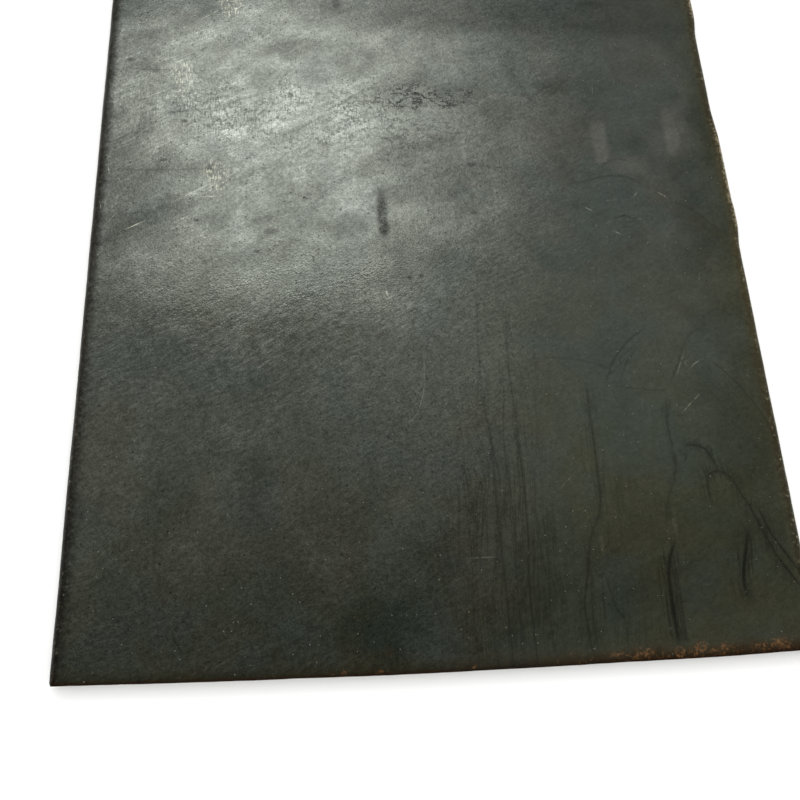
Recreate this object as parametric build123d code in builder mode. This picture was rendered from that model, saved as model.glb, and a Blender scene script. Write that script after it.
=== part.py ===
# Hot-rolled steel plate: one cut length of wide strip, lying flat on its underside.
# Both long sides keep the round edge that the rolls left, and both ends are sheared.
# X runs across the width, Y along the length from the near end to the far end, Z up.
import os
from math import asin, copysign, degrees, sqrt

from build123d import *

# Plate, in millimetres
plate_width = 380.0
plate_length = 1000.0
plate_thickness = 8.0

# Rolled long sides: a round edge, and on the right side shallow hollows and swells
mill_edge_radius = 3.6
least_edge_flat = 0.4  # upright strip that stays between the two roundings
side_blend_radius = 45.0  # smooths each turn of the uneven side
# Turning points of the uneven side: distance from the near end, shortfall from the full width
side_turns = [
    (231.0, 1.7),
    (244.0, 0.0),
    (255.0, 0.0),
    (263.0, 0.7),
    (308.0, 0.8),
    (326.0, 2.4),
    (387.0, 2.4),
    (399.0, 0.7),
]

# Sheared ends
end_bow = 2.2  # crown of the near end across the width, where the blade gave
roll_over_radius = 1.2  # edge that the blade drew in
burnish_depth = 1.6  # smooth upright band below the roll-over
fracture_lean = 0.5  # how far the torn face falls back at its foot
corner_dub = 1.6  # blunted corners, measured along each side

# Stock beyond each end, which the shear cuts off
shear_waste = 12.0

half_width = plate_width / 2
near_end = -plate_length / 2
far_end = plate_length / 2
edge_rounding = min(mill_edge_radius, (plate_thickness - least_edge_flat) / 2)
right_side = [(half_width - shortfall, near_end + along) for along, shortfall in side_turns]
right_at_near = right_side[0][0]
right_at_far = right_side[-1][0]


def shear_offcut(land, roll_over_up):
    # Waste beyond one sheared end, drawn with the first axis out of the plate and the second up.
    # land is where the burnished band stands. Turned over, the roll-over is on the underside.
    def level(height):
        return height if roll_over_up else plate_thickness - height

    rolled_edge = (land - roll_over_radius, level(plate_thickness))
    band_top = (land, level(plate_thickness - roll_over_radius))
    band_foot = (land, level(plate_thickness - roll_over_radius - burnish_depth))
    torn_foot = (land - fracture_lean, level(0))
    with BuildLine() as outline:
        TangentArc(rolled_edge, band_top, tangent=(1, 0))
        Polyline(
            band_top,
            band_foot,
            torn_foot,
            (torn_foot[0], level(-shear_waste)),
            (land + 2 * shear_waste, level(-shear_waste)),
            (land + 2 * shear_waste, level(plate_thickness + shear_waste)),
            (rolled_edge[0], level(plate_thickness + shear_waste)),
            rolled_edge,
        )
    make_face(outline.edges())


# The near cut is an arc across the width, with its crown on the centre line
bow_radius = (half_width**2 + end_bow**2) / (2 * end_bow)
bow_centre = (0, near_end + bow_radius, 0)
bow_half_angle = degrees(asin((half_width + shear_waste) / bow_radius))
bow_start = Plane(origin=bow_centre, x_dir=(0, -1, 0), z_dir=(-1, 0, 0)).rotated((0, 0, -bow_half_angle))

# Corners of the plan outline, knocked blunt in handling. A square stands outside each, turned by
# 45 degrees, and its inner side takes the corner off.
corners = [
    (-half_width, near_end + end_bow),
    (right_at_near, near_end + end_bow),
    (-half_width, far_end),
    (right_at_far, far_end),
]
dub_centres = [(x + copysign(corner_dub, x), y + copysign(corner_dub, y)) for x, y in corners]
dub_square = 3 * corner_dub * sqrt(2)

with BuildPart() as plate:
    # Strip with its uneven right side, longer than the plate at both ends
    with BuildSketch():
        with BuildLine():
            side = FilletPolyline(
                (right_at_near, near_end - shear_waste),
                *right_side,
                (right_at_far, far_end + shear_waste),
                radius=side_blend_radius,
            )
            Polyline(
                side @ 1,
                (-half_width, far_end + shear_waste),
                (-half_width, near_end - shear_waste),
                side @ 0,
            )
        make_face()
    extrude(amount=plate_thickness)

    # Round edges that the rolls left along both sides
    underside, top_face = plate.faces().filter_by(Axis.Z).sort_by(Axis.Z)
    side_edges = (underside.edges() + top_face.edges()).filter_by(Axis.X, reverse=True)
    fillet(side_edges, radius=edge_rounding)

    # Near end, sheared from above
    with BuildSketch(bow_start):
        shear_offcut(bow_radius, roll_over_up=True)
    revolve(axis=Axis(bow_centre, (0, 0, 1)), revolution_arc=2 * bow_half_angle, mode=Mode.SUBTRACT)

    # Far end, cut as the falling piece, so its roll-over is on the underside
    with BuildSketch(Plane.YZ):
        shear_offcut(far_end, roll_over_up=False)
    extrude(amount=half_width + shear_waste, both=True, mode=Mode.SUBTRACT)

    # Blunted corners
    with BuildSketch():
        with Locations(*dub_centres):
            Rectangle(dub_square, dub_square, rotation=45)
    extrude(amount=plate_thickness, mode=Mode.SUBTRACT)

plate.part.label = "plate"
os.makedirs("parts", exist_ok=True)
export_step(plate.part, "parts/plate.step")
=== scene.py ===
import math
from functools import partial
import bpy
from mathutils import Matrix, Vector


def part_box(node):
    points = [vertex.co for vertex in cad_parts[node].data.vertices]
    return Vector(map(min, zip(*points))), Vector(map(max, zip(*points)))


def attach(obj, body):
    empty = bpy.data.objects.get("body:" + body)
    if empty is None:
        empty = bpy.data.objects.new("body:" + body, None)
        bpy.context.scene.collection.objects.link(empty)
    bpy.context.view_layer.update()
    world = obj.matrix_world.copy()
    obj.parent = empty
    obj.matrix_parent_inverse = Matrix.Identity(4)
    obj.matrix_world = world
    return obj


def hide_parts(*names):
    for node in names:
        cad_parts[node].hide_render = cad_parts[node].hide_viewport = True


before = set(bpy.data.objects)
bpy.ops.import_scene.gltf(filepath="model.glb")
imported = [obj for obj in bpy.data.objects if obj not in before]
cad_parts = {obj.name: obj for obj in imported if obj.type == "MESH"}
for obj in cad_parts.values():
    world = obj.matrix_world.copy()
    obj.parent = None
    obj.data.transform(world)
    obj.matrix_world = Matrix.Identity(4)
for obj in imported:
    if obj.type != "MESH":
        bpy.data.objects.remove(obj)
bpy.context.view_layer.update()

from types import SimpleNamespace
import bmesh
import bpy
import numpy as np
from mathutils import Matrix, Quaternion, Vector, noise

mm = 0.001  # the frame is in metres, sizes below are in millimetres
scene = bpy.context.scene

# the setting of a node that its mode goes to
nodeModes = dict(
    Math="operation", VectorMath="operation", MapRange="interpolation_type", Mix="data_type",
    Mapping="vector_type", TexNoise="noise_dimensions", TexVoronoi="voronoi_dimensions",
    Attribute="attribute_name",
)


def linearColour(hexColour):
    # sRGB hex to the linear RGBA that shaders and lights take
    parts = [int(hexColour[i:i + 2], 16) / 255 for i in (1, 3, 5)]
    return [c / 12.92 if c <= 0.04045 else ((c + 0.055) / 1.055) ** 2.4 for c in parts] + [1.0]


def plug(tree, socket, value):
    # a node or one of its outputs is linked; a hex colour or a number is the socket's own value
    if isinstance(value, bpy.types.Node):
        value = next(out for out in value.outputs if out.enabled)
    if isinstance(value, bpy.types.NodeSocket):
        tree.links.new(value, socket)
    else:
        socket.default_value = linearColour(value) if isinstance(value, str) else value


def addNode(tree, kind, *values, **named):
    # kind is a node and its mode, as in "Math ADD"; values go to its inputs in order, or by name.
    # MapRange takes a value, the two ends of its range, and what it gives at each (0 and 1 if not said)
    kind, _, mode = kind.partition(" ")
    node = tree.nodes.new("ShaderNode" + kind)
    if mode:
        setattr(node, nodeModes[kind], mode)
    for socket, value in zip([socket for socket in node.inputs if socket.enabled], values):
        plug(tree, socket, value)
    for name, value in named.items():
        plug(tree, node.inputs[name], value)
    return node


def smoothRamp(value, start, end):
    # 0 before start, 1 after end, smooth between; works on numpy arrays and either way round
    t = np.clip((np.asarray(value, float) - start) / (end - start), 0, 1)
    return t * t * (3 - 2 * t)


# Camera, at the photograph's place and angle
view = dict(
    place=(-45.6, -484.3, 389.7),
    aim=(-18.6, -361.4, 8.0),
    roll=10.4,  # degrees, to the left
    focalPixels=750,
    imagePixels=800,
    sensor=36.0,
    clipStart=10.0,
)


def makeCamera():
    data = bpy.data.cameras.new("photoCamera")
    data.sensor_width = view["sensor"]
    data.lens = view["sensor"] * view["focalPixels"] / view["imagePixels"]
    data.clip_start = view["clipStart"] * mm
    camera = bpy.data.objects.new("photoCamera", data)
    scene.collection.objects.link(camera)
    place = Vector(view["place"]) * mm
    look = (Vector(view["aim"]) * mm - place).to_track_quat("-Z", "Y")
    camera.rotation_mode = "QUATERNION"
    camera.rotation_quaternion = look @ Quaternion((0, 0, 1), math.radians(view["roll"]))
    camera.location = place
    scene.camera = camera


makeCamera()
print("camera placed")

# Marks on the top face: half-width, strength and points along the middle, in millimetres
marks = dict(
    reach=7.0,  # how far from its middle a mark is known
    noMark=99.0,  # distance where there is none
    taper=9.0,  # length over which a mark fades at each end
    steps=8,  # pieces of curve between two points
    topFrom=7.0,  # height above which a mark shows
    hairs=dict(flowA=0.8, flowB=0.8, flowC=0.0),  # strength of the hairlines beside each kind
    # dark flow lines in the scale near the near end, and dark streaks on the left
    flowA=(
        (0.7, 0.6, ((26, -350), (27, -370), (29, -386), (29, -424), (30, -462), (31, -508))),
        (0.4, 0.72, ((43, -312), (42, -334), (42, -352), (43, -374), (44, -427), (42, -464), (43, -508))),
        (0.7, 0.66, ((84, -352), (84, -374), (84, -407), (83, -423), (76, -439), (72, -458), (69, -475),
                     (72, -510))),
        (0.4, 0.6, ((128, -361), (125.7, -378), (127, -394), (125.6, -407), (119, -422), (116.4, -437))),
        (1.1, 1.0, ((122, -438), (116, -450), (114, -462), (114, -480), (114, -497))),
        (1.1, 1.0, ((162, -433), (157, -448), (154, -458), (153, -467), (155, -477))),
        (0.5, 0.85, ((129, -391), (140, -391), (145, -394), (149, -402), (152, -408))),
        (0.6, 0.85, ((167, -420), (173, -438), (179, -449), (190, -468))),
        (0.4, 0.75, ((-177, -144.5), (-159, -145.5), (-142, -145))),
        (0.4, 0.7, ((-181, -216), (-152, -217), (-124, -216))),
        (0.5, 0.6, ((-91, -197), (-71, -188), (-55, -177))),
        (0.4, 0.8, ((30, -214), (44, -216), (60, -216.5))),
    ),
    # more of them, some close beside the first
    flowB=(
        (0.4, 0.6, ((102, -98), (119, -90), (128, -97), (132, -112))),
        (0.75, 0.85, ((143, -426), (142.5, -411), (145, -406.5), (150, -405.5), (156, -409), (160, -417),
                      (165, -427), (175, -452), (190, -476))),
        (0.5, 0.6, ((75, -452), (72.5, -478), (74, -506))),
        (0.4, 0.5, ((80, -452), (85, -474), (88.5, -480), (88, -500))),
        (0.4, 0.6, ((117.5, -452), (116.8, -472), (117, -494))),
        (0.4, 0.6, ((150.5, -456), (150, -466), (151.5, -478))),
        (0.4, 0.5, ((36, -400), (37, -430), (36, -470), (38, -508))),
        (0.4, 0.5, ((52, -420), (53, -450), (51, -480), (53, -508))),
        (0.4, 0.45, ((12, -400), (14, -440), (13, -480), (15, -508))),
        (0.5, 0.7, ((-155, -177), (-131, -175), (-116, -171), (-98, -164))),
        (1.6, 0.45, ((-190, -270), (-165, -252), (-140, -234))),
        (1.4, 0.45, ((-190, -203), (-174, -194), (-158, -183))),
    ),
    # thin creases of the scale
    flowC=(
        (0.35, 0.74, ((106, -216.5), (111, -215), (116, -211.8), (122.6, -210.4), (128.5, -212.6),
                      (133.5, -217))),
        (0.35, 0.68, ((83, -229), (99, -225.8), (112, -222.4), (122, -222.5), (127.6, -224),
                      (137, -231))),
        (0.4, 0.88, ((111, -253.6), (114.7, -251), (120.8, -250), (125.3, -252.4), (128.5, -256))),
        (0.3, 0.54, ((112, -259), (120.7, -257.2), (128, -257.8))),
        (0.4, 0.61, ((147, -238), (160, -245), (170.4, -254), (180, -262.5))),
        (0.35, 0.74, ((94.4, -357.4), (97, -349), (103.5, -338), (113, -328), (124, -321))),
        (0.3, 0.61, ((103, -353.3), (108.6, -342.3), (116.8, -332.5))),
        (0.3, 0.47, ((96, -355.7), (110, -357.8), (126, -359.3), (132, -355.5))),
        (0.25, 0.47, ((53.4, -386.7), (55.5, -354.7), (58, -341.3), (62, -338.5), (88, -342),
                      (103.5, -350.6))),
        (0.3, 0.54, ((128.7, -359.4), (136.6, -345.5), (143.7, -330), (146, -327.4), (152.4, -323.5),
                     (159, -324.8))),
        (0.35, 0.61, ((154.4, -340.5), (165.5, -350.6), (176.4, -364.6), (184, -380), (187.5, -396))),
        (0.3, 0.7, ((-134, -472), (-132, -480), (-129, -485), (-128, -493))),
        (0.4, 0.6, ((27.5, -300), (26.2, -327), (25.9, -345), (26.4, -358))),
        (0.3, 0.5, ((57.8, -328), (56, -342), (55, -355), (54, -375), (54, -398))),
        (0.3, 0.65, ((-26, -331), (-21.5, -327.8), (-17, -325.5), (-11, -322))),
        (0.3, 0.6, ((-9, -323), (-12.2, -329.2), (-16.5, -333.5))),
        (0.35, 0.6, ((-8, -327), (-4.5, -331), (0, -337.5))),
        (0.3, 0.5, ((-38, -318), (-36, -313.5), (-33, -313), (-31.5, -318), (-33, -322))),
    ),
    # pale scratches
    scratch=(
        (0.3, 0.6, ((-136, -108), (-128, -103), (-117, -95))),
        (0.3, 0.5, ((-166, -167), (-145, -157))),
        (0.3, 0.6, ((-145, -239), (-123, -226))),
        (0.35, 0.8, ((-172, -257), (-158, -250))),
        (0.35, 0.5, ((-181, -252), (-176, -246))),
        (0.35, 0.8, ((-151, -165), (-138, -165))),
        (0.35, 0.7, ((-129, -235), (-118, -235))),
        (0.35, 0.6, ((-159, -209), (-155, -201))),
        (0.35, 0.2, ((142.5, -348.6), (147, -344), (154.4, -340.5))),
        (0.35, 0.2, ((133, -374.4), (140, -368), (149, -360))),
        (0.4, 0.12, ((134, -354), (143, -335))),
        (0.5, 0.1, ((62, -413), (74, -402))),
        (0.4, 0.1, ((10, -446), (29, -446))),
        (0.5, 0.27, ((96, -243.5), (102, -247))),
        (0.5, 0.3, ((142, -233.6), (148.5, -238))),
        (0.4, 0.24, ((130.8, -233), (126.5, -237.5))),
        (0.4, 0.18, ((109, -240), (118, -238.5))),
        (0.5, 0.2, ((111, -259.6), (117, -262.6))),
        (0.6, 0.08, ((106.5, -256), (112, -253))),
        (1.5, 0.03, ((82, -432), (82, -450))),
        (1.5, 0.03, ((121.5, -422), (121.5, -442))),
        (0.3, 0.1, ((113, -147), (111, -168))),
        (0.3, 0.1, ((127, -148), (125.5, -160))),
        (0.35, 0.12, ((163.5, -134), (162, -144))),
        (0.55, 0.65, ((-24, -293), (-23.5, -297), (-22, -302))),
        (0.25, 0.14, ((-4.4, -330), (-4.6, -342), (-5.3, -355), (-7.4, -363), (-11, -371),
                      (-18.2, -377))),
        (0.35, 0.6, ((-183, -119), (-180, -113))),
        (0.4, 0.6, ((-173, -108), (-171, -113))),
        (0.4, 0.5, ((-183, -214), (-181.5, -220))),
        (0.4, 0.45, ((-186, -237), (-184.5, -243))),
        (0.35, 0.4, ((-178, -238), (-175, -241))),
    ),
)


def markLine(points):
    # smooth curve through the points, each run a cubic shaped by its neighbours
    p = np.array([points[0], *points, points[-1]], float)
    t = np.linspace(0, 1, marks["steps"], endpoint=False)[:, None]
    runs = []
    for a, b, c, d in zip(p, p[1:], p[2:], p[3:]):
        square, cube = 2 * a - 5 * b + 4 * c - d, 3 * b - a - 3 * c + d
        runs.append(0.5 * (2 * b + (c - a) * t + square * t ** 2 + cube * t ** 3))
    return np.vstack(runs + [p[-1:]])


def drawMarks(mesh, straight, name):
    # at each vertex: signed distance across the nearest mark, its strength and half-width there
    data = np.tile(np.array([marks["noMark"], 0.0, 1.0, 1.0]), (len(straight), 1))
    flat = straight[:, :2]
    for width, strength, points in marks[name]:
        line = markLine(points)
        lo, hi = line.min(0) - marks["reach"], line.max(0) + marks["reach"]
        inBox = (flat > lo).all(1) & (flat < hi).all(1)
        ids = np.nonzero((straight[:, 2] > marks["topFrom"]) & inBox)[0]
        start, run = line[:-1], np.diff(line, axis=0)
        length = np.hypot(*run.T)
        away = flat[ids, None] - start
        t = np.clip((away * run).sum(2) / length ** 2, 0, 1)
        gap = away - t[..., None] * run
        dist = np.hypot(gap[..., 0], gap[..., 1])
        row = np.arange(len(ids))
        k = dist.argmin(1)
        side = np.sign(run[k, 0] * gap[row, k, 1] - run[k, 1] * gap[row, k, 0])
        along = np.concatenate([[0], np.cumsum(length)])[k] + t[row, k] * length[k]
        taper = min(marks["taper"], length.sum() / 2)
        fade = smoothRamp(along, 0, taper) * smoothRamp(length.sum() - along, 0, taper)
        mark = np.stack([side * dist[row, k], strength * fade, np.full(len(ids), width)], 1)
        take = dist[row, k] < np.minimum(np.abs(data[ids, 0]), marks["reach"])
        data[ids[take], :3] = mark[take]
    addLayer(mesh, name, data)


def addLayer(mesh, name, data):
    # four numbers at each vertex, for the material to read
    layer = mesh.attributes.new(name, "FLOAT_COLOR", "POINT")
    layer.data.foreach_set("color", data.astype(np.float32).ravel())


# Zones of the top face with a look of their own: middle, half-sizes in millimetres and strength; the first
# four kinds are painted light and shade of the reflections
zones = dict(
    dulls=(  # less gloss: painted shade on the reflection
        (-165, -232, 75, 55, 0.8), (-172, -135, 26, 30, 0.6), (-60, -128, 66, 18, 0.6),
        (8, -160, 50, 22, 0.75), (-10, -218, 62, 30, 0.85), (-75, -245, 60, 24, 0.8),
        (-10, -274, 62, 22, 0.6), (192, -250, 52, 190, 1.0), (-110, -480, 210, 120, 1.0),
        (-70, -149, 85, 11, 0.75), (-85, -202, 40, 11, 0.4), (-75, -270, 62, 14, 0.7),
        (52, -180, 16, 22, 0.5), (178, -120, 36, 32, 0.8), (-133, -252, 18, 20, 0.4),
        (-32, -137, 11, 19, 0.8), (-15, -150, 17, 8, 0.5), (60, -140, 7, 20, 0.5), (85, -157, 24, 6, 0.6),
        (182, -185, 22, 52, 1.3), (172, -375, 42, 62, 1.0), (158, -283, 28, 24, 0.9),
        (-38, -482, 42, 32, 1.8), (-140, -139, 32, 17, 0.65), (-117, -160, 22, 11, 0.6),
        (-122, -203, 28, 15, 0.55), (-95, -224, 20, 13, 0.7), (-126, -250, 26, 22, 0.7),
        (-50, -254, 26, 17, 0.9), (-43, -140, 15, 13, 1.0),
    ),
    glows=(  # more gloss: painted highlight on the reflection
        (-95, -188, 42, 18, 0.8), (-24, -125, 19, 9, 0.35), (30, -127, 21, 8, 0.4),
        (86, -134, 17, 10, 1.4), (-16, -312, 36, 20, 0.9),
    ),
    sheens=(  # greyer and glossier: painted reflection patches
        (111.5, -197.5, 5.5, 17), (162, -190, 8.5, 20, 0.55), (157.5, -191, 4.5, 19),
        (126, -216, 14, 6, 0.35),
    ),
    blues=(  # bluish and a little duller: painted reflection patches
        (115, -160, 20, 20, 0.8), (159, -158, 14, 18, 0.8), (127, -202, 17, 9, 0.8),
        (112, -240, 34, 14, 0.6),
    ),
    wrinkled=(  # crumpled scale
        (-88, -174, 100, 36), (-118, -118, 52, 8, 0.7), (-45, -170, 26, 26, 0.7),
        (-165, -165, 26, 36, 0.7),
    ),
    cracked=(  # hairline cracks
        (8, -166, 40, 13), (21, -168, 18, 10), (1, -188, 40, 18, 0.5), (-45, -172, 30, 24, 0.4),
        (-98, -174, 72, 26, 0.3), (-60, -215, 70, 32, 0.3),
    ),
    hatched=(  # fine lines along the plate
        (32, -440, 46, 105), (84, -460, 50, 80, 0.5),
    ),
    scuffs=(  # rubbed pale
        (-114, -97, 8, 10), (-143, -151, 7, 15), (-121, -222, 7.5, 13),
    ),
    rusted=(  # clumps of rust
        (113, -497.6, 4, 2.6, 0.6), (124, -494, 7, 4.5), (136, -495.8, 9, 4, 0.6),
        (157, -496, 6, 3.5, 0.7), (167, -495.2, 8, 4.5), (97, -495.2, 5, 4, 0.6),
        (80, -494.6, 3, 2.5, 0.7), (84, -495.2, 3, 2.5, 0.7), (91, -497, 3, 2.5, 0.75),
        (62, -496.8, 3.5, 2.5, 0.7), (19, -497.2, 3.5, 2.5, 0.9), (11, -497.5, 3, 2.2, 0.9),
        (-29.6, -489.2, 3, 3, 0.8), (-33.3, -498.1, 3, 2.5), (-51, -498.4, 2.5, 2),
        (-56.4, -498.1, 2.5, 2, 0.7),
    ),
    # share of the half-size where a zone is full, and raggedness of its rim
    rims=dict(
        dulls=(0.2, 0.4), glows=(0.1, 0.4), sheens=(0.6, 0.12), blues=(0.4, 0.4), wrinkled=(0.2, 0.5),
        cracked=(0.4, 0.4), hatched=(0.3, 0.4), scuffs=(0.3, 0.4), rusted=(0.2, 0.25),
    ),
    rimWaves=((24, 1.0, 31), (11, 0.6, 32), (5.5, 0.35, 33)),  # size, share and seed of the raggedness
    square=("sheens", "scuffs"),
    topFrom=4.0,  # height above which a zone shows
    # colour layers of the mesh that carry the zones, up to four each
    layers=dict(
        zonesA=("dulls", "glows", "sheens", "blues"),
        zonesB=("wrinkled", "cracked", "hatched", "scuffs"),
        zonesC=("rusted",),
    ),
)


def wave(place, size, seed):
    # smooth noise from -1 to 1 with features of about that size in millimetres
    return noise.noise(Vector((place[0] / size + seed * 7.31, place[1] / size - seed * 3.17, seed * 1.7)))


def zoneMask(straight, ragged, name):
    # 1 inside any of the zones on the top face, fading to 0 at the rim
    total = np.zeros(len(straight))
    full, raggedness = zones["rims"][name]
    power = 4 if name in zones["square"] else 2
    for x, y, halfX, halfY, *strength in zones[name]:
        across, along = (straight[:, 0] - x) / halfX, (straight[:, 1] - y) / halfY
        gap = np.sqrt(np.abs(across) ** power + np.abs(along) ** power) + ragged * raggedness
        total = np.maximum(total, smoothRamp(gap, 1, full) * (strength[0] if strength else 1))
    return total * (straight[:, 2] > zones["topFrom"])


def drawZones(mesh, straight):
    ragged = np.array([sum(share * wave(p, size, seed) for size, share, seed in zones["rimWaves"])
                       for p in straight])
    for layerName, names in zones["layers"].items():
        data = np.zeros((len(straight), 4))
        for channel, name in enumerate(names):
            data[:, channel] = zoneMask(straight, ragged, name)
        addLayer(mesh, layerName, data)


# Plate: rolled strip with round uneven sides and sheared ends
plate = dict(
    width=380.0,
    length=1000.0,
    thickness=8.0,
    edgeRadius=3.6,
    edgeSteps=5,
    columns=130,  # cells across the flat of the plate
    nearRows=160,  # cells along the stretch that the photograph shows
    farRows=118,
    farStart=-80.0,  # where the coarser rows begin
    endLoops=(1.5, 4.5),  # rows close to each end
    # right side: distance from the near end, shortfall from the full width
    sideTurns=((0, 1.7), (231, 1.7), (244, 0.05), (255, 0.05), (263, 0.7), (308, 0.8), (326, 2.4),
               (387, 2.4), (399, 0.7), (1000, 0.7)),
    leftFall=0.25,  # shortfall of the left side
    sideBlend=6,  # rounds the turns of the right side
    sideReach=(45.0, 4.0),  # how far in from the side the surface starts to follow it, and follows fully
    sideWaves=((0.18, 22, 3), (0.10, 6, 4)),  # depth, size and seed of the unevenness
    endBow=2.2,
    endReach=60.0,
    endWaves=((0.30, 38, 5), (0.12, 9, 6)),
    noiseLanes=(40, 90),  # keep the unevenness of the two sides, and of the two ends, apart
    rollOver=1.2,
    burnish=1.6,
    fractureLean=0.5,
    tornFrom=(2.4, 3.6),  # depth where the torn face starts
    tornWave=(0.22, 2.6, 7),
    cornerRound=2.2,
    cornerPull=0.75,
    # rolled faces: depth and size of the low waves, share on the flatter right and on the underside
    lowWave=(0.026, 34),
    fineWave=(0.014, 13),
    faceSeeds=(11, 23),  # top and underside
    calmRight=(110, -20, 0.35),
    undersideShare=0.6,
    flatRim=(9, 7),  # how far in from the sides and the ends the waves are full
    sharpAngle=50,
)


def endInset(level):
    # how far the sheared face stands back at a depth below the edge that the blade met
    r = plate["rollOver"]
    if level < r:
        return r - math.sqrt(max(0, r * r - (r - level) ** 2))
    torn = level - r - plate["burnish"]
    return max(0, torn) / (plate["thickness"] - r - plate["burnish"]) * plate["fractureLean"]


def cutAcross(bm, geom, place, normal, merge):
    bmesh.ops.bisect_plane(bm, geom=geom, dist=merge, plane_co=place, plane_no=normal)


def roughBody(lo, hi):
    # box with round long edges, cut into an even grid of quads
    size = hi - lo
    bm = bmesh.new()
    place = Matrix.Translation((lo + hi) / 2) @ Matrix.Diagonal((*size, 1))
    bmesh.ops.create_cube(bm, size=1, matrix=place)
    longEdges = [e for e in bm.edges if abs(e.verts[0].co.y - e.verts[1].co.y) > size.y / 2]
    bmesh.ops.bevel(bm, geom=longEdges, offset=plate["edgeRadius"] * mm, offset_type="OFFSET",
                    segments=plate["edgeSteps"], profile=0.5, affect="EDGES", material=-1)
    flat = hi.x - plate["edgeRadius"] * mm
    for i in range(1, plate["columns"]):
        x = -flat + 2 * flat * i / plate["columns"]
        cutAcross(bm, bm.verts[:] + bm.edges[:] + bm.faces[:], (x, 0, 0), (1, 0, 0), 1e-7)
    # the ends get a row at each step of the round edges
    levels = sorted({round(v.co.z, 6) for v in bm.verts})[1:-1]
    for level in levels:
        caps = [f for f in bm.faces if abs(f.normal.y) > 0.9]
        capEdges = list({e for f in caps for e in f.edges})
        capVerts = list({v for f in caps for v in f.verts})
        cutAcross(bm, capVerts + capEdges + caps, (0, 0, level), (0, 0, 1), 1e-6)
    farStart = plate["farStart"] * mm
    rows = [lo.y + d * mm for d in plate["endLoops"]] + [hi.y - d * mm for d in plate["endLoops"]]
    for y in rows + [farStart]:
        cutAcross(bm, bm.verts[:] + bm.edges[:] + bm.faces[:], (0, y, 0), (0, 1, 0), 1e-7)
    # the two long stretches are the only edges left that run over 0.2 m
    spans = [e for e in bm.edges if abs(e.verts[0].co.y - e.verts[1].co.y) > 0.2]
    near = [e for e in spans if (e.verts[0].co.y + e.verts[1].co.y) / 2 < farStart]
    far = [e for e in spans if (e.verts[0].co.y + e.verts[1].co.y) / 2 > farStart]
    bmesh.ops.subdivide_edges(bm, edges=near, cuts=plate["nearRows"], use_grid_fill=True)
    bmesh.ops.subdivide_edges(bm, edges=far, cuts=plate["farRows"], use_grid_fill=True)
    return bm


def unevenSide():
    # shortfall of the right side at each millimetre from the near end, with its turns rounded
    stations, shortfalls = zip(*plate["sideTurns"])
    along = np.arange(0, plate["length"] + 1, 1.0)
    kernel = np.hanning(2 * plate["sideBlend"] + 1)
    padded = np.pad(np.interp(along, stations, shortfalls), plate["sideBlend"], mode="edge")
    return along, np.convolve(padded, kernel / kernel.sum(), mode="valid")


def faceRelief(x, y, topSide):
    # long low waves and a finer unevenness of a rolled face, always below the flat
    start, end, least = plate["calmRight"]
    calm = least + (1 - least) * float(smoothRamp(x, start, end)) if topSide else 1.0
    seed = plate["faceSeeds"][0 if topSide else 1]
    lowDepth, lowSize = plate["lowWave"]
    fineDepth, fineSize = plate["fineWave"]
    relief = lowDepth * calm * (1 + wave((x * 0.6 + y * 0.1, y), lowSize, seed))
    return relief + fineDepth * calm * (1 + wave((x * 0.7, y), fineSize, seed + 1))


def shapePlate(bm, hi):
    # bends the straight body to the real plate, and returns where each vertex was, in millimetres
    along, sideLine = unevenSide()
    halfWidth, halfLength, thick = hi.x / mm, hi.y / mm, hi.z / mm
    sideFrom, sideFull = (halfWidth - reach for reach in plate["sideReach"])
    rimX, rimY = plate["flatRim"]
    sideLane, endLane = plate["noiseLanes"]
    tornDepth, tornSize, tornSeed = plate["tornWave"]
    straight = []
    for v in bm.verts:
        x, y, z = (c / mm for c in v.co)
        straight.append((x, y, z))
        onCap = abs(abs(y) - halfLength) < 1e-4
        topSide = z > thick / 2
        # long sides: hollows on the right, and a small unevenness on both, always inwards
        sideShare = float(smoothRamp(abs(x), sideFrom, sideFull))
        fall = np.interp(y + halfLength, along, sideLine) if x > 0 else plate["leftFall"]
        for depth, size, seed in plate["sideWaves"]:
            fall += depth * (1 + wave((y, math.copysign(sideLane, x)), size, seed))
        # ends: bow of the near one, raggedness of both
        endShare = float(smoothRamp(abs(y), halfLength - plate["endReach"], halfLength))
        back = plate["endBow"] * (x / halfWidth) ** 2 if y < 0 else 0
        for depth, size, seed in plate["endWaves"]:
            back += depth * (1 + wave((x, math.copysign(endLane, y)), size, seed))
        if onCap:
            depth = thick - z if y < 0 else z
            back += endInset(depth)
            torn = smoothRamp(depth, *plate["tornFrom"])
            back += float(torn) * tornDepth * (1 + wave((x, z * 2), tornSize, tornSeed))
        # corners, knocked round in handling
        cx = abs(x) - (halfWidth - plate["cornerRound"])
        cy = abs(y) - (halfLength - plate["cornerRound"])
        pull = 0
        if cx > 0 and cy > 0:
            pull = max(0, math.hypot(cx, cy) - plate["cornerRound"]) * plate["cornerPull"]
        newX = x - math.copysign(fall * sideShare + pull, x)
        newY = y - math.copysign(back * endShare + pull, y)
        newZ = z
        if abs(z - (thick if topSide else 0)) < 1e-4:
            flatShare = float(smoothRamp(halfWidth - abs(x), 0, rimX))
            flatShare *= float(smoothRamp(halfLength - abs(y), 0, rimY))
            relief = faceRelief(x, y, topSide)
            newZ = z - relief * flatShare if topSide else z + relief * flatShare * plate["undersideShare"]
        v.co = Vector((newX, newY, newZ)) * mm
    return np.array(straight)


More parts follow.
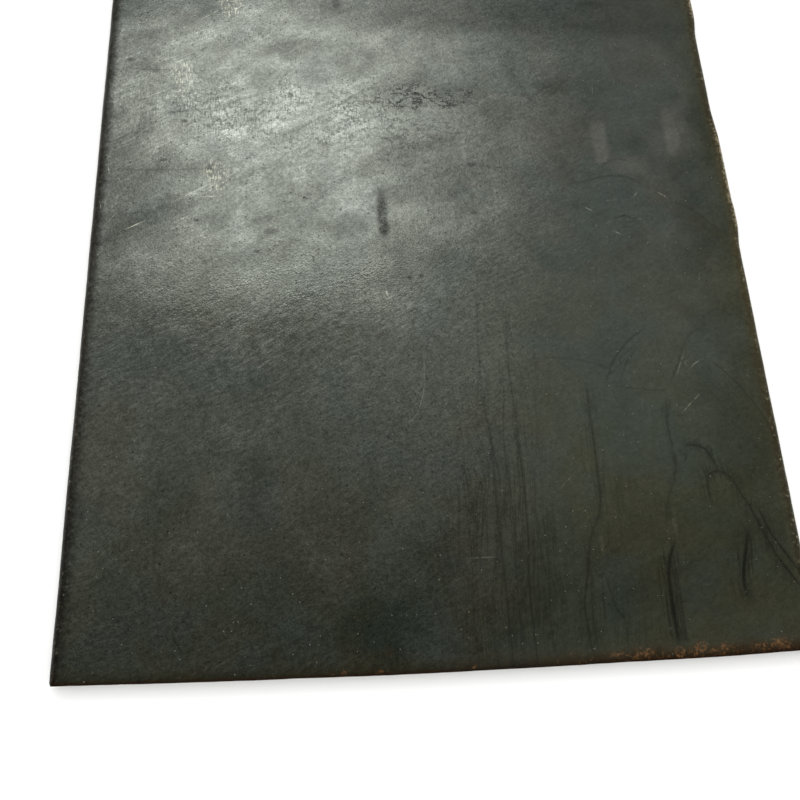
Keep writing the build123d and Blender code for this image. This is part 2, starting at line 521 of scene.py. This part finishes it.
def makePlate():
    lo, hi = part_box("plate")
    bm = roughBody(lo, hi)
    straight = shapePlate(bm, hi)
    bmesh.ops.recalc_face_normals(bm, faces=bm.faces[:])
    for f in bm.faces:
        f.smooth = True
    mesh = bpy.data.meshes.new("steelPlate")
    bm.to_mesh(mesh)
    bm.free()
    mesh.set_sharp_from_angle(angle=math.radians(plate["sharpAngle"]))
    stock = mesh.attributes.new("stockPlace", "FLOAT_VECTOR", "POINT")
    stock.data.foreach_set("vector", straight.astype(np.float32).ravel())
    for name in ("flowA", "flowB", "flowC", "scratch"):
        drawMarks(mesh, straight, name)
    drawZones(mesh, straight)
    piece = bpy.data.objects.new("steelPlate", mesh)
    scene.collection.objects.link(piece)
    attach(piece, "root")
    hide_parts("plate")
    return piece


steelPlate = makePlate()
print("plate modelled:", len(steelPlate.data.vertices), "vertices,", len(steelPlate.data.polygons), "faces")

# Mill scale: colours, sizes in millimetres and strengths that a user would change
scale = dict(
    # ground colours, the colour of the painted reflection patches, and the tint of its reflections
    green="#181c13", brown="#1c1b10", blue="#151c17", reflectionPatchColour="#221c16",
    reflection="#f8fff2", reflectionNear="#f8ffdc", reflectionBlue="#edfff2",
    # marks, rust, long sides and cut ends
    flowColour="#070705", scratchColour="#b4b2a0", scuffColour="#918c74", dustColour="#a6a698",
    rustDark="#180903", rustBrown="#251a0e", rustMid="#33210f", rustLight="#624224",
    edgeDark="#110c07", edgeOlive="#302b1b", edgeTan="#7d725b",
    cutSteel="#4b4b46", cutTorn="#241d16",
    roughness=0.17, wornRoughness=0.3, darkRoughness=0.14,
    gloss=0.5, wornGloss=0.1, ior=2.4,
    # the real grain is finer, and is drawn as coarse as it needs to show
    grainSize=0.95, grainDepth=0.045,
    mottleSize=2.4, mottleDepth=0.02, edgeDepth=0.15,
    warpSize=60, warpShift=16,  # bends the streaks
    streakTurn=28.0, streakSize=(7.0, 1.6), streakDepth=0.012,
    cloudSize=(48, 15), dragSize=(26, 2.4), patchSize=20,
    brownSize=75, blueSize=48, blueShift=(310, 170, 40),
    hairSize=(3.4, 80), veinSize=(11, 6.5), combSize=(0.8, 4.0),
    pitSpacing=3.2, pitShare=0.2, moteSpacing=4, moteShare=(0.02, 0.085),
    rustSize=1.5, chipSize=1.8, proudSize=55,
    # how strongly each mark shows
    pitShade=0.6, crackShade=0.9, flowShade=0.95, hatchShade=0.45, scuffShade=0.78, dustShade=0.22,
    # duller band across the plate, painted shade at the edge of the reflection: its edge, slant and
    # raggedness, where it fades out, a bright spot in it
    dullEdge=(-120, -107), dullSlant=0.03, dullRagged=30.0, dullFade=(60, -80),
    dullGap=((-92, -98, 36, 20),), dullDrop=-0.4, glowLift=0.3,
    # rust: width of its band at the ends, the right corner, and a broken ring of it
    rustBand=(10.0, 2.0), rustRagged=12.0, rustCorner=((190, -500, 46, 26, 0.75),),
    ringPlace=(114, -495.4, 8), ringRadius=2.2, ringWidth=0.5,
    # swell of the right side where its chips show, and how its colour dims near and far of it
    swellMiddle=-224.0, swellReach=(44, 30),
    sideDimNear=(-300, -430, 1.0, 0.6), sideDimFar=(-215, -170, 1.0, 0.75),
    # where a look changes along or across the plate: start, end, and what it gives there
    topRise=(3.0, 7.0), smoothSlant=(-0.25, -87.0), smoothRight=(82, 12, 0.42, 1.0),
    brownNear=(-350, -470, -0.04, 0.07), blueRight=(0, 120, -0.03, 0.05), blueNear=(-420, -330, 0.7),
    warmStart=(-310, -220, 140, 168), warmFull=186,
    flowNear=(-345, -460, 0.6, 1.0), dragLeft=(-20, -110), rustRight=(-30, 110, 0.2),
    cloudNear=(-330, -230, 0.45, 1.0), cutFade=(7.0, 1.0, 1.0, 0.15),
    warmNear=(-240, -400), warmRight=(0, 90, 0.15), blueTintRight=(-10, 90, 0.05, 0.5),
    # stains: middle, half-sizes and strength
    stains=(
        (-24, -246, 4.6, 20, 0.9), (-23.5, -256, 4.8, 9, 0.9), (-48, -93, 3.5, 7, 0.6),
        (-88, -258, 6, 3, 0.5), (-96, -271, 2.4, 1.4, 0.8), (-174, -138, 4, 1.8, 0.8),
        (-151, -210, 3.4, 1.6, 0.8), (-130, -250.5, 1.4, 1.1, 0.9), (-69, -236, 1.4, 1.2, 0.9),
        (-140, -183, 3, 2, 0.8), (-77, -164, 2.6, 2.8, 0.8), (-61, -163, 2.2, 2.2, 0.7),
        (20.7, -170.3, 1.6, 1.3, 1.0), (31, -214, 4, 2.4, 0.8), (30, -247, 3, 2, 0.6),
        (-9.6, -288.6, 2.2, 1.6, 0.9), (-3.2, -287.6, 2.4, 1.3, 0.8),
    ),
)


def spotMask(add, place, spots, inner):
    # 1 inside any of the spots, fading to 0 at its rim
    total = 0.0
    for x, y, halfX, halfY, *strength in spots:
        local = add("Mapping TEXTURE", Vector=place, Location=(x, y, 0), Scale=(halfX, halfY, 1e6))
        gap = add("VectorMath LENGTH", local)
        spot = add("MapRange SMOOTHSTEP", gap, 1, inner, 0, strength[0] if strength else 1)
        total = add("Math MAXIMUM", spot, total)
    return total


def longNoise(add, place, size, detail, roughness=0.5, turn=0.0):
    # noise with features of that length and width in millimetres, turned by that many degrees
    local = add("Mapping TEXTURE", Vector=place, Rotation=(0, 0, math.radians(turn)), Scale=(*size, 1))
    return add("TexNoise 2D", Vector=local, Scale=1.0, Detail=detail, Roughness=roughness)


def veinGap(add, pattern):
    # 0 along the thin winding lines where a noise passes its middle, more away from them
    return add("Math ABSOLUTE", add("Math SUBTRACT", pattern, 0.5))


def skinPatterns(add):
    # places on the straight stock, the zones, and the patterns that several finishes share
    skin = SimpleNamespace()
    skin.place = place = add("VectorMath SCALE", add("TexCoord").outputs["Object"], 1 / mm)
    stock = add("Attribute stockPlace")
    skin.x, skin.y, skin.z = add("SeparateXYZ", stock.outputs["Vector"]).outputs
    skin.sideGap = add("Math SUBTRACT", plate["width"] / 2, add("Math ABSOLUTE", skin.x))
    skin.endGap = add("Math SUBTRACT", plate["length"] / 2, add("Math ABSOLUTE", skin.y))
    skin.topFace = add("MapRange", skin.z, *scale["topRise"])
    for layerName, names in zones["layers"].items():
        layer = add("Attribute " + layerName)
        channels = [*add("SeparateXYZ", layer.outputs["Vector"]).outputs, layer.outputs["Alpha"]]
        for name, channel in zip(names, channels):
            setattr(skin, name, channel)

    # grain of the scale, and streaks where the plate was dragged
    skin.grain = add("TexNoise", Vector=place, Scale=1 / scale["grainSize"], Detail=1.0, Roughness=0.6)
    skin.mottle = add("TexNoise", Vector=place, Scale=1 / scale["mottleSize"], Detail=4.0, Roughness=0.65)
    warp = add("TexNoise 2D", Vector=place, Scale=1 / scale["warpSize"], Detail=1.0)
    bend = (scale["warpShift"], scale["warpShift"], 0)
    skin.warped = warped = add("VectorMath MULTIPLY_ADD", warp.outputs["Color"], bend, place)
    skin.streak = longNoise(add, warped, scale["streakSize"], 3.0, 0.6, scale["streakTurn"])
    skin.cloud = longNoise(add, warped, scale["cloudSize"], 4.0, 0.6, scale["streakTurn"])
    skin.patch = add("TexNoise 2D", Vector=warped, Scale=1 / scale["patchSize"], Detail=4.0, Roughness=0.65)
    skin.ragged = add("Math MULTIPLY_ADD", skin.patch, 0.9, -0.45)
    skin.comb = longNoise(add, place, scale["combSize"], 2.0)
    skin.veins = veinGap(add, longNoise(add, place, scale["veinSize"], 3.0, 0.6))
    bluePlace = add("VectorMath ADD", place, scale["blueShift"])
    skin.blueNoise = add("TexNoise 2D", Vector=bluePlace, Scale=1 / scale["blueSize"], Detail=3.0)

    # the right of the plate is smoother
    slope, shift = scale["smoothSlant"]
    slant = add("Math MULTIPLY_ADD", skin.y, slope, add("Math ADD", skin.x, shift))
    skin.coarse = add("MapRange SMOOTHSTEP", slant, *scale["smoothRight"])
    return skin


def dullBand(add, skin):
    # painted shade: a duller band across the plate at the edge of the reflection, and the dull zones
    edge = add("Math MULTIPLY_ADD", skin.x, scale["dullSlant"], skin.y)
    edge = add("Math MULTIPLY_ADD", skin.ragged, scale["dullRagged"], edge)
    band = add("MapRange SMOOTHSTEP", edge, *scale["dullEdge"])
    band = add("Math SUBTRACT", band, spotMask(add, skin.place, scale["dullGap"], 0.1))
    band.use_clamp = True
    band = add("Math MULTIPLY", band, add("MapRange", edge, *scale["dullFade"]))
    skin.dull = add("Math MAXIMUM", band, skin.dulls)


def groundColour(add, skin):
    # broad tints: browner towards the near end and along the right side, bluer towards the right, and the
    # painted reflection patches, bluish and greyer
    brownNoise = add("TexNoise 2D", Vector=skin.place, Scale=1 / scale["brownSize"], Detail=3.0,
                     Roughness=0.55)
    brownMore = add("MapRange", skin.y, *scale["brownNear"])
    blueMore = add("MapRange", skin.x, *scale["blueRight"])
    brownShare = add("MapRange", add("Math ADD", brownNoise, brownMore), 0.45, 0.62)
    blueShare = add("MapRange", add("Math ADD", skin.blueNoise, blueMore), 0.48, 0.66)
    warmStart = add("MapRange", skin.y, *scale["warmStart"])
    skin.rightWarm = add("MapRange", skin.x, warmStart, scale["warmFull"])
    brownShare = add("Math MAXIMUM", brownShare, skin.rightWarm)
    blueShare = add("Math MULTIPLY", blueShare, add("MapRange", skin.y, *scale["blueNear"]))
    blueShare = add("Math MULTIPLY", blueShare, add("Math MULTIPLY_ADD", skin.rightWarm, -0.8, 1.0))
    # the blue zones are painted reflections, on top of the bluish tone of the scale
    skin.blueShare = add("Math MAXIMUM", blueShare, skin.blues)
    colour = add("Mix RGBA", brownShare, scale["green"], scale["brown"])
    colour = add("Mix RGBA", skin.blueShare, colour, scale["blue"])
    # greyer colour of the painted reflection patches
    skin.colour = add("Mix RGBA", skin.sheens, colour, scale["reflectionPatchColour"])


def flowLines(add, skin):
    # fine lengthwise hatching, and flow lines: a dark core with a shade and hairlines beside it
    hair = veinGap(add, longNoise(add, skin.warped, scale["hairSize"], 3.0, 0.65))
    hair = add("MapRange", hair, 0.07, 0.015)
    skin.hatch = add("Math MULTIPLY", hair, skin.hatched)
    flow = 0.0
    for name, hairs in marks["hairs"].items():
        mark = add("Attribute " + name)
        across, strength, width = add("SeparateXYZ", mark.outputs["Vector"]).outputs
        shifted = add("Math MULTIPLY_ADD", skin.mottle, 1.1, across)
        shifted = add("Math SUBTRACT", shifted, 0.55)
        share = add("Math DIVIDE", add("Math ABSOLUTE", shifted), width)
        core = add("MapRange SMOOTHSTEP", share, 1.9, 0.3)
        shade = add("MapRange SMOOTHSTEP", share, 4.5, 0.5, 0, 0.35)
        core = add("Math MAXIMUM", core, shade)
        near = add("MapRange SMOOTHSTEP", share, 11.0, 1.0, 0, hairs)
        both = add("Math MAXIMUM", core, add("Math MULTIPLY", hair, near))
        flow = add("Math MAXIMUM", add("Math MULTIPLY", both, strength), flow)
    fitful = add("MapRange", skin.blueNoise, 0.35, 0.6, 0.85, 1.1)
    nearEnd = add("MapRange", skin.y, *scale["flowNear"])
    for factor in (fitful, nearEnd):
        flow = add("Math MULTIPLY", flow, factor)
    skin.flow = flow


def darkMarks(add, skin):
    # stains, pits and hairline cracks on the top face, with the flow lines and the hatching
    stain = spotMask(add, skin.place, scale["stains"], 0.35)
    stain = add("Math MULTIPLY", stain, add("MapRange", skin.grain, 0.38, 0.58, 0.35))
    pits = add("TexVoronoi 2D", Vector=skin.place, Scale=1 / scale["pitSpacing"])
    chance = add("SeparateXYZ", pits.outputs["Color"]).outputs["X"]
    pitSize = add("MapRange", chance, 0.62, 1.0, 0.0, scale["pitShare"])
    pit = add("Math LESS_THAN", pits.outputs["Distance"], pitSize)
    for factor in (skin.coarse, add("MapRange", skin.patch, 0.36, 0.52)):
        pit = add("Math MULTIPLY", pit, factor)
    crack = add("MapRange", skin.veins, 0.045, 0.012)
    for factor in (skin.cracked, add("MapRange", skin.patch, 0.40, 0.54, 0.65)):
        crack = add("Math MULTIPLY", crack, factor)
    dark = add("Math MAXIMUM", stain, add("Math MULTIPLY", pit, scale["pitShade"]))
    dark = add("Math MAXIMUM", dark, add("Math MULTIPLY", crack, scale["crackShade"]))
    dark = add("Math MULTIPLY", dark, skin.topFace)
    dark = add("Math MAXIMUM", dark, add("Math MULTIPLY", skin.flow, scale["flowShade"]))
    skin.dark = add("Math MAXIMUM", dark, add("Math MULTIPLY", skin.hatch, scale["hatchShade"]))


def paleMarks(add, skin):
    # scratches, rubbed scuffs and dust
    mark = add("Attribute scratch")
    across, strength, width = add("SeparateXYZ", mark.outputs["Vector"]).outputs
    share = add("Math DIVIDE", add("Math ABSOLUTE", across), width)
    scratch = add("MapRange SMOOTHSTEP", share, 1.2, 0.3)
    for factor in (strength, add("MapRange", skin.mottle, 0.40, 0.52, 0.15)):
        scratch = add("Math MULTIPLY", scratch, factor)
    skin.scratch = scratch
    scuff = add("MapRange", skin.comb, 0.48, 0.60)
    shown = add("Math MULTIPLY", skin.topFace, scale["scuffShade"])
    for factor in (add("MapRange", skin.mottle, 0.42, 0.56), skin.scuffs, shown):
        scuff = add("Math MULTIPLY", scuff, factor)
    skin.scuff = scuff
    motes = add("TexVoronoi 2D", Vector=skin.place, Scale=1 / scale["moteSpacing"])
    chance = add("SeparateXYZ", motes.outputs["Color"]).outputs["Y"]
    moteSize = add("MapRange", chance, 0.88, 1.0, *scale["moteShare"])
    dust = add("Math LESS_THAN", motes.outputs["Distance"], moteSize)
    skin.dust = add("Math MULTIPLY", dust, skin.topFace)


def crumpledScale(add, skin):
    # crumpled scale on the left: small cells with dark joints, and fine upright combing
    cells = add("MapRange", skin.veins, 0, 0.07, -0.25, 0.12)
    comb = add("MapRange", skin.comb, 0.35, 0.65, -0.26, 0.26)
    crumple = add("Math MULTIPLY_ADD", add("Math ADD", cells, comb), skin.wrinkled, 1.0)
    # thin bright lines there, where the plate was dragged
    drag = veinGap(add, longNoise(add, skin.warped, scale["dragSize"], 2.0, turn=scale["streakTurn"]))
    drag = add("MapRange", drag, 0.035, 0.008)
    onLeft = add("MapRange", skin.x, *scale["dragLeft"])
    for factor in (add("MapRange", skin.patch, 0.44, 0.56), onLeft):
        drag = add("Math MULTIPLY", drag, factor)
    skin.crumple = add("Math MULTIPLY_ADD", drag, 0.4, crumple)


def rustyEnds(add, skin):
    # rust along the cut ends, more towards the right and in the rusted zones
    rustNoise = add("TexNoise", Vector=skin.place, Scale=1 / scale["rustSize"], Detail=4.0, Roughness=0.62)
    endRagged = add("Math MULTIPLY_ADD", skin.ragged, scale["rustRagged"], skin.endGap)
    endBand = add("MapRange SMOOTHSTEP", endRagged, *scale["rustBand"])
    skin.rightMore = add("MapRange SMOOTHSTEP", skin.x, *scale["rustRight"])
    endRust = add("Math MULTIPLY", endBand, skin.rightMore)
    corner = spotMask(add, skin.place, scale["rustCorner"], 0.1)
    skin.endRust = add("Math MAXIMUM", endRust, corner)
    rustSum = rustNoise
    for part, share in ((skin.endRust, 0.18), (skin.patch, 0.30), (skin.rusted, 0.32)):
        rustSum = add("Math MULTIPLY_ADD", part, share, rustSum)
    rustSpot = add("MapRange", rustSum, 0.86, 1.06)
    rustGate = add("Math MAXIMUM", add("MapRange", skin.endRust, 0.03, 0.2), skin.rusted)
    for factor in (rustGate, add("MapRange", skin.endGap, 0.4, 2.0, 0.4)):
        rustSpot = add("Math MULTIPLY", rustSpot, factor)
    ringGap = add("VectorMath DISTANCE", skin.place, scale["ringPlace"])
    ring = add("Math COMPARE", ringGap, scale["ringRadius"], scale["ringWidth"])
    ring = add("Math MULTIPLY", ring, add("MapRange", skin.grain, 0.40, 0.58, 0.15, 0.7))
    skin.rustSpot = add("Math MAXIMUM", rustSpot, ring)
    lightShare = add("MapRange", skin.grain, 0.4, 0.65)
    skin.rustColour = add("Mix RGBA", lightShare, scale["rustMid"], scale["rustLight"])


def longSides(add, skin):
    # dark on the left, olive with tan chips on the right
    onRight = add("Math GREATER_THAN", skin.x, 0.0)
    bandStart = add("Math MULTIPLY_ADD", onRight, -1.0, 10.0)
    bandFull = add("Math MULTIPLY_ADD", onRight, 2.0, 2.2)
    bandGap = add("Math MULTIPLY_ADD", skin.mottle, 6.0, add("Math SUBTRACT", skin.sideGap, 3.0))
    skin.sideBand = add("MapRange SMOOTHSTEP", bandGap, bandStart, bandFull)
    edgeColour = add("Mix RGBA", onRight, scale["edgeDark"], scale["edgeOlive"])
    chipNoise = add("TexNoise", Vector=skin.place, Scale=1 / scale["chipSize"], Detail=3.0, Roughness=0.65)
    chipBand = add("MapRange", skin.sideGap, 5.4, 1.8)
    chipBand = add("Math MULTIPLY", chipBand, add("MapRange", skin.z, 2.5, 5.5))
    # more chips where the side stands proud: the swell that the photograph shows, and guesses beyond it
    proudNoise = add("TexNoise 2D", Vector=skin.place, Scale=1 / scale["proudSize"], Detail=1.0)
    guessed = add("MapRange", proudNoise, 0.44, 0.56)
    shown = add("MapRange", skin.y, -96, -108)
    swell = add("Math ABSOLUTE", add("Math ADD", skin.y, -scale["swellMiddle"]))
    swell = add("MapRange", swell, *scale["swellReach"])
    proud = add("Math MULTIPLY", add("Mix FLOAT", shown, guessed, swell), onRight)
    chipSum = add("Math MULTIPLY_ADD", add("Math MULTIPLY", chipBand, proud), 0.15, chipNoise)
    chip = add("MapRange", chipSum, 0.585, 0.665)
    chipShare = add("Math MULTIPLY_ADD", onRight, 0.7, 0.3)
    chip = add("Math MULTIPLY", chip, add("Math MULTIPLY", chipBand, chipShare))
    nearDim = add("MapRange", skin.y, *scale["sideDimNear"])
    farDim = add("MapRange", skin.y, *scale["sideDimFar"])
    edgeColour = add("VectorMath SCALE", edgeColour, add("Math MULTIPLY", nearDim, farDim))
    skin.edgeColour = add("Mix RGBA", chip, edgeColour, scale["edgeTan"])


def cutEnds(add, skin):
    # cut faces of the ends: smooth band where the blade slid, torn below it, less bare on the right
    farEnd = add("Math GREATER_THAN", skin.y, 0.0)
    depth = add("Mix FLOAT", farEnd, add("Math SUBTRACT", plate["thickness"], skin.z), skin.z)
    tornShare = add("MapRange", add("Math MULTIPLY_ADD", skin.mottle, 2.5, depth), 3.6, 4.6)
    skin.cutColour = add("Mix RGBA", tornShare, scale["cutSteel"], scale["cutTorn"])
    cutShare = add("MapRange", skin.endGap, 0.6, 0.05)
    bare = add("Math MULTIPLY_ADD", skin.rightMore, -0.85, 1.0)
    for factor in (add("MapRange", depth, 0.6, 1.6), bare):
        cutShare = add("Math MULTIPLY", cutShare, factor)
    skin.cutShare = cutShare


def layeredColour(add, skin):
    # colour, from the ground up
    tone = add("MapRange", skin.mottle, 0.3, 0.7, 0.72, 1.28)
    speckle = add("MapRange", skin.grain, 0.3, 0.7, -0.25, 0.25)
    skin.speckle = add("Math MULTIPLY_ADD", speckle, skin.coarse, 1.0)
    tone = add("Math MULTIPLY", tone, skin.speckle)
    colour = add("Mix RGBA", skin.sideBand, skin.colour, skin.edgeColour)
    colour = add("VectorMath SCALE", colour, tone)
    brownEnd = add("Math MAXIMUM", add("Math MULTIPLY", skin.rusted, 0.7), skin.endRust)
    cutLine = add("MapRange", skin.endGap, 2.6, 0.8, 0, 0.8)
    brownEnd = add("Math MAXIMUM", add("Math MULTIPLY", brownEnd, 0.95), cutLine)
    brownShare = add("MapRange", skin.endGap, 0.4, 2.4)
    endColour = add("Mix RGBA", brownShare, scale["rustDark"], scale["rustBrown"])
    layers = (
        (brownEnd, endColour),
        (skin.cutShare, skin.cutColour),
        (skin.dark, scale["flowColour"]),
        (skin.scratch, scale["scratchColour"]),
        (skin.scuff, scale["scuffColour"]),
        (add("Math MULTIPLY", skin.dust, scale["dustShade"]), scale["dustColour"]),
        (skin.rustSpot, skin.rustColour),
    )
    for share, over in layers:
        colour = add("Mix RGBA", share, colour, over)
    return colour


def layeredRoughness(add, skin):
    # rougher in some streaks, in the dark marks, and on rust and the sides
    streaks = add("MapRange", skin.streak, 0.3, 0.7, -0.05, 0.06)
    rough = add("Math MULTIPLY", streaks, skin.coarse)
    rough = add("Math ADD", rough, add("MapRange", skin.cloud, 0.3, 0.7, -0.06, 0.06))
    base = add("Math MULTIPLY_ADD", skin.dark, scale["darkRoughness"], scale["roughness"])
    rough = add("Math ADD", rough, base)
    skin.worn = add("Math MAXIMUM", skin.sideBand, add("Math MAXIMUM", skin.rustSpot, skin.endRust))
    return add("Math MULTIPLY_ADD", skin.worn, scale["wornRoughness"], rough)


def layeredGloss(add, skin):
    # strength of the reflection: less on worn places and in dark marks, cloudy, streaked and flecked, with
    # painted highlight and shade where the zones brighten or dim it
    lost = add("Math MAXIMUM", skin.worn, skin.dark)
    gloss = add("MapRange", lost, 0, 1, scale["gloss"], scale["wornGloss"])
    calm = add("MapRange", skin.y, *scale["cloudNear"])
    clouds = add("Math ADD", add("Math MULTIPLY_ADD", skin.cloud, -0.6, 0.3), skin.ragged)
    strokes = add("MapRange", skin.streak, 0.3, 0.7, -0.14, 0.14)
    rubbed = add("Math MULTIPLY_ADD", skin.scuff, 0.55, skin.crumple)
    flecks = add("MapRange", skin.mottle, 0.3, 0.7, -0.2, 0.2)
    unlit = add("Math MULTIPLY_ADD", skin.dull, scale["dullDrop"], 1.0)
    factors = (
        skin.speckle,
        add("Math MULTIPLY_ADD", clouds, calm, 1.0),
        add("Math MULTIPLY_ADD", strokes, skin.coarse, 1.0),
        add("Math MULTIPLY_ADD", skin.sheens, 0.45, rubbed),
        add("Math MULTIPLY_ADD", skin.blues, -0.15, 1.0),
        add("Math MULTIPLY_ADD", flecks, skin.coarse, 1.0),
        add("MapRange", skin.endGap, *scale["cutFade"]),
        add("Math MULTIPLY_ADD", skin.glows, scale["glowLift"], unlit),
    )
    for factor in factors:
        gloss = add("Math MULTIPLY", gloss, factor)
    return gloss


def reflectionTint(add, skin):
    # reflections are warmer near the near end and the right side, and bluer in the blue tints
    warm = add("MapRange", skin.y, *scale["warmNear"])
    warm = add("Math MULTIPLY", warm, add("MapRange", skin.x, *scale["warmRight"]))
    warm = add("Math MAXIMUM", warm, skin.rightWarm)
    tint = add("Mix RGBA", warm, scale["reflection"], scale["reflectionNear"])
    blueTint = add("MapRange", skin.x, *scale["blueTintRight"])
    blueTint = add("Math MULTIPLY", skin.blueShare, blueTint)
    return add("Mix RGBA", blueTint, tint, scale["reflectionBlue"])


def surfaceRelief(add, skin):
    # grain, streaks and mottling, in millimetres, and coarser sides
    relief = add("Math MULTIPLY", add("Math MULTIPLY", skin.grain, skin.coarse), scale["grainDepth"])
    layers = (
        (add("Math MULTIPLY", skin.streak, skin.coarse), scale["streakDepth"]),
        (skin.mottle, scale["mottleDepth"]),
        (add("Math MULTIPLY", skin.sideBand, skin.mottle), scale["edgeDepth"]),
    )
    for pattern, depth in layers:
        relief = add("Math MULTIPLY_ADD", pattern, depth, relief)
    return add("Bump", Height=relief, Distance=mm)


def millScale():
    # hot-rolled mill scale: dark grey-green oxide skin, half glossy, finely grained, with darker flow lines
    material = bpy.data.materials.new("hotRolledMillScale")
    material.use_nodes = True
    tree = material.node_tree
    add = partial(addNode, tree)
    skin = skinPatterns(add)
    for makeLayer in (dullBand, groundColour, flowLines, darkMarks, paleMarks, crumpledScale, rustyEnds,
                      longSides, cutEnds):
        makeLayer(add, skin)
    surface = {
        "Base Color": layeredColour(add, skin),
        "Roughness": layeredRoughness(add, skin),
        "Specular IOR Level": layeredGloss(add, skin),
        "IOR": scale["ior"],
        "Specular Tint": reflectionTint(add, skin),
        "Normal": surfaceRelief(add, skin),
    }
    shader = tree.nodes["Principled BSDF"]
    for name, value in surface.items():
        plug(tree, shader.inputs[name], value)
    return material


steelPlate.data.materials.append(millScale())
print("materials made")

# Floor, lights and sky, in metres
stage = dict(
    floorSize=60, floorColour="#f0f0ee", floorRoughness=0.9,
    keyPlace=(-0.19, 0.69, 1.165),
    keyAim=(-0.095, -0.205, 0.008),
    # the key is four panels, one behind the other, so that its sides are soft: width, height, power
    keyPanels=((0.50, 0.70, 1.10), (0.79, 0.66, 0.92), (1.08, 0.66, 0.92), (1.38, 0.66, 0.6)),
    keyStep=0.03, keyBack=(0.55, 0.82),  # spacing of the panels, and its shares along Y and up
    topPlace=(0.16, 0.265, 1.37), topAim=(0.0, -0.32, 0.008), topSize=(0.45, 0.35), topPower=0.08,
    fillPower=3.0, fillAngle=130,
    # grey of the sky across this direction, and pale round the horizon up to this height
    skyAcross=(-0.10, 0.5, 0),
    skyStops=((0.0, 0.50), (0.25, 0.35), (0.42, 0.19), (0.50, 0.08), (0.575, 0.27), (0.65, 0.30),
              (0.80, 0.33), (1.0, 0.42)),
    horizonColour="#efefed", horizonRise=(0.45, 0.02),
)


def makeFloor():
    bm = bmesh.new()
    bmesh.ops.create_grid(bm, x_segments=8, y_segments=8, size=stage["floorSize"])
    mesh = bpy.data.meshes.new("paleFloor")
    bm.to_mesh(mesh)
    bm.free()
    floor = bpy.data.objects.new("paleFloor", mesh)
    scene.collection.objects.link(floor)
    material = bpy.data.materials.new("mattPaleFloor")  # matt paint, pale and even
    material.use_nodes = True
    shader = material.node_tree.nodes["Principled BSDF"]
    shader.inputs["Base Color"].default_value = linearColour(stage["floorColour"])
    shader.inputs["Roughness"].default_value = stage["floorRoughness"]
    mesh.materials.append(material)


def areaLight(name, place, aim, size, power):
    data = bpy.data.lights.new(name, "AREA")
    data.shape = "RECTANGLE"
    data.size, data.size_y = size
    data.energy = power
    lamp = bpy.data.objects.new(name, data)
    scene.collection.objects.link(lamp)
    lamp.location = place
    lamp.rotation_mode = "QUATERNION"
    lamp.rotation_quaternion = (Vector(aim) - Vector(place)).to_track_quat("-Z", "Y")


def makeKey():
    x, y, z = stage["keyPlace"]
    backY, backZ = stage["keyBack"]
    for step, (width, height, power) in enumerate(stage["keyPanels"]):
        back = stage["keyStep"] * step
        place = (x, y + backY * back, z + backZ * back)
        areaLight("softKey%d" % step, place, stage["keyAim"], (width, height), power)
    areaLight("softKeyTop", stage["topPlace"], stage["topAim"], stage["topSize"], stage["topPower"])


def makeFill():
    # even soft light from above for the floor, kept out of reflections
    data = bpy.data.lights.new("overheadFill", "SUN")
    data.energy = stage["fillPower"]
    data.angle = math.radians(stage["fillAngle"])
    lamp = bpy.data.objects.new("overheadFill", data)
    scene.collection.objects.link(lamp)
    lamp.visible_glossy = False


def softWorld():
    # pale round the horizon, darker overhead
    world = bpy.data.worlds.new("paleStudio")
    scene.world = world
    world.use_nodes = True
    tree = world.node_tree
    add = partial(addNode, tree)
    sight = add("TexCoord").outputs["Generated"]
    slant = add("VectorMath DOT_PRODUCT", sight, stage["skyAcross"])
    ramp = add("ValToRGB", add("Math ADD", slant, 0.5))
    for place, grey in stage["skyStops"][1:-1]:
        ramp.color_ramp.elements.new(place)
    for element, (place, grey) in zip(ramp.color_ramp.elements, stage["skyStops"]):
        element.position = place
        element.color = (grey, grey, grey, 1)
    height = add("SeparateXYZ", sight).outputs["Z"]
    low = add("MapRange SMOOTHSTEP", height, *stage["horizonRise"])
    sky = add("Mix RGBA", low, ramp, stage["horizonColour"])
    plug(tree, tree.nodes["Background"].inputs["Color"], sky)


makeFloor()
softWorld()
makeKey()
makeFill()
scene.view_settings.view_transform = "Standard"
print("floor and lights set")
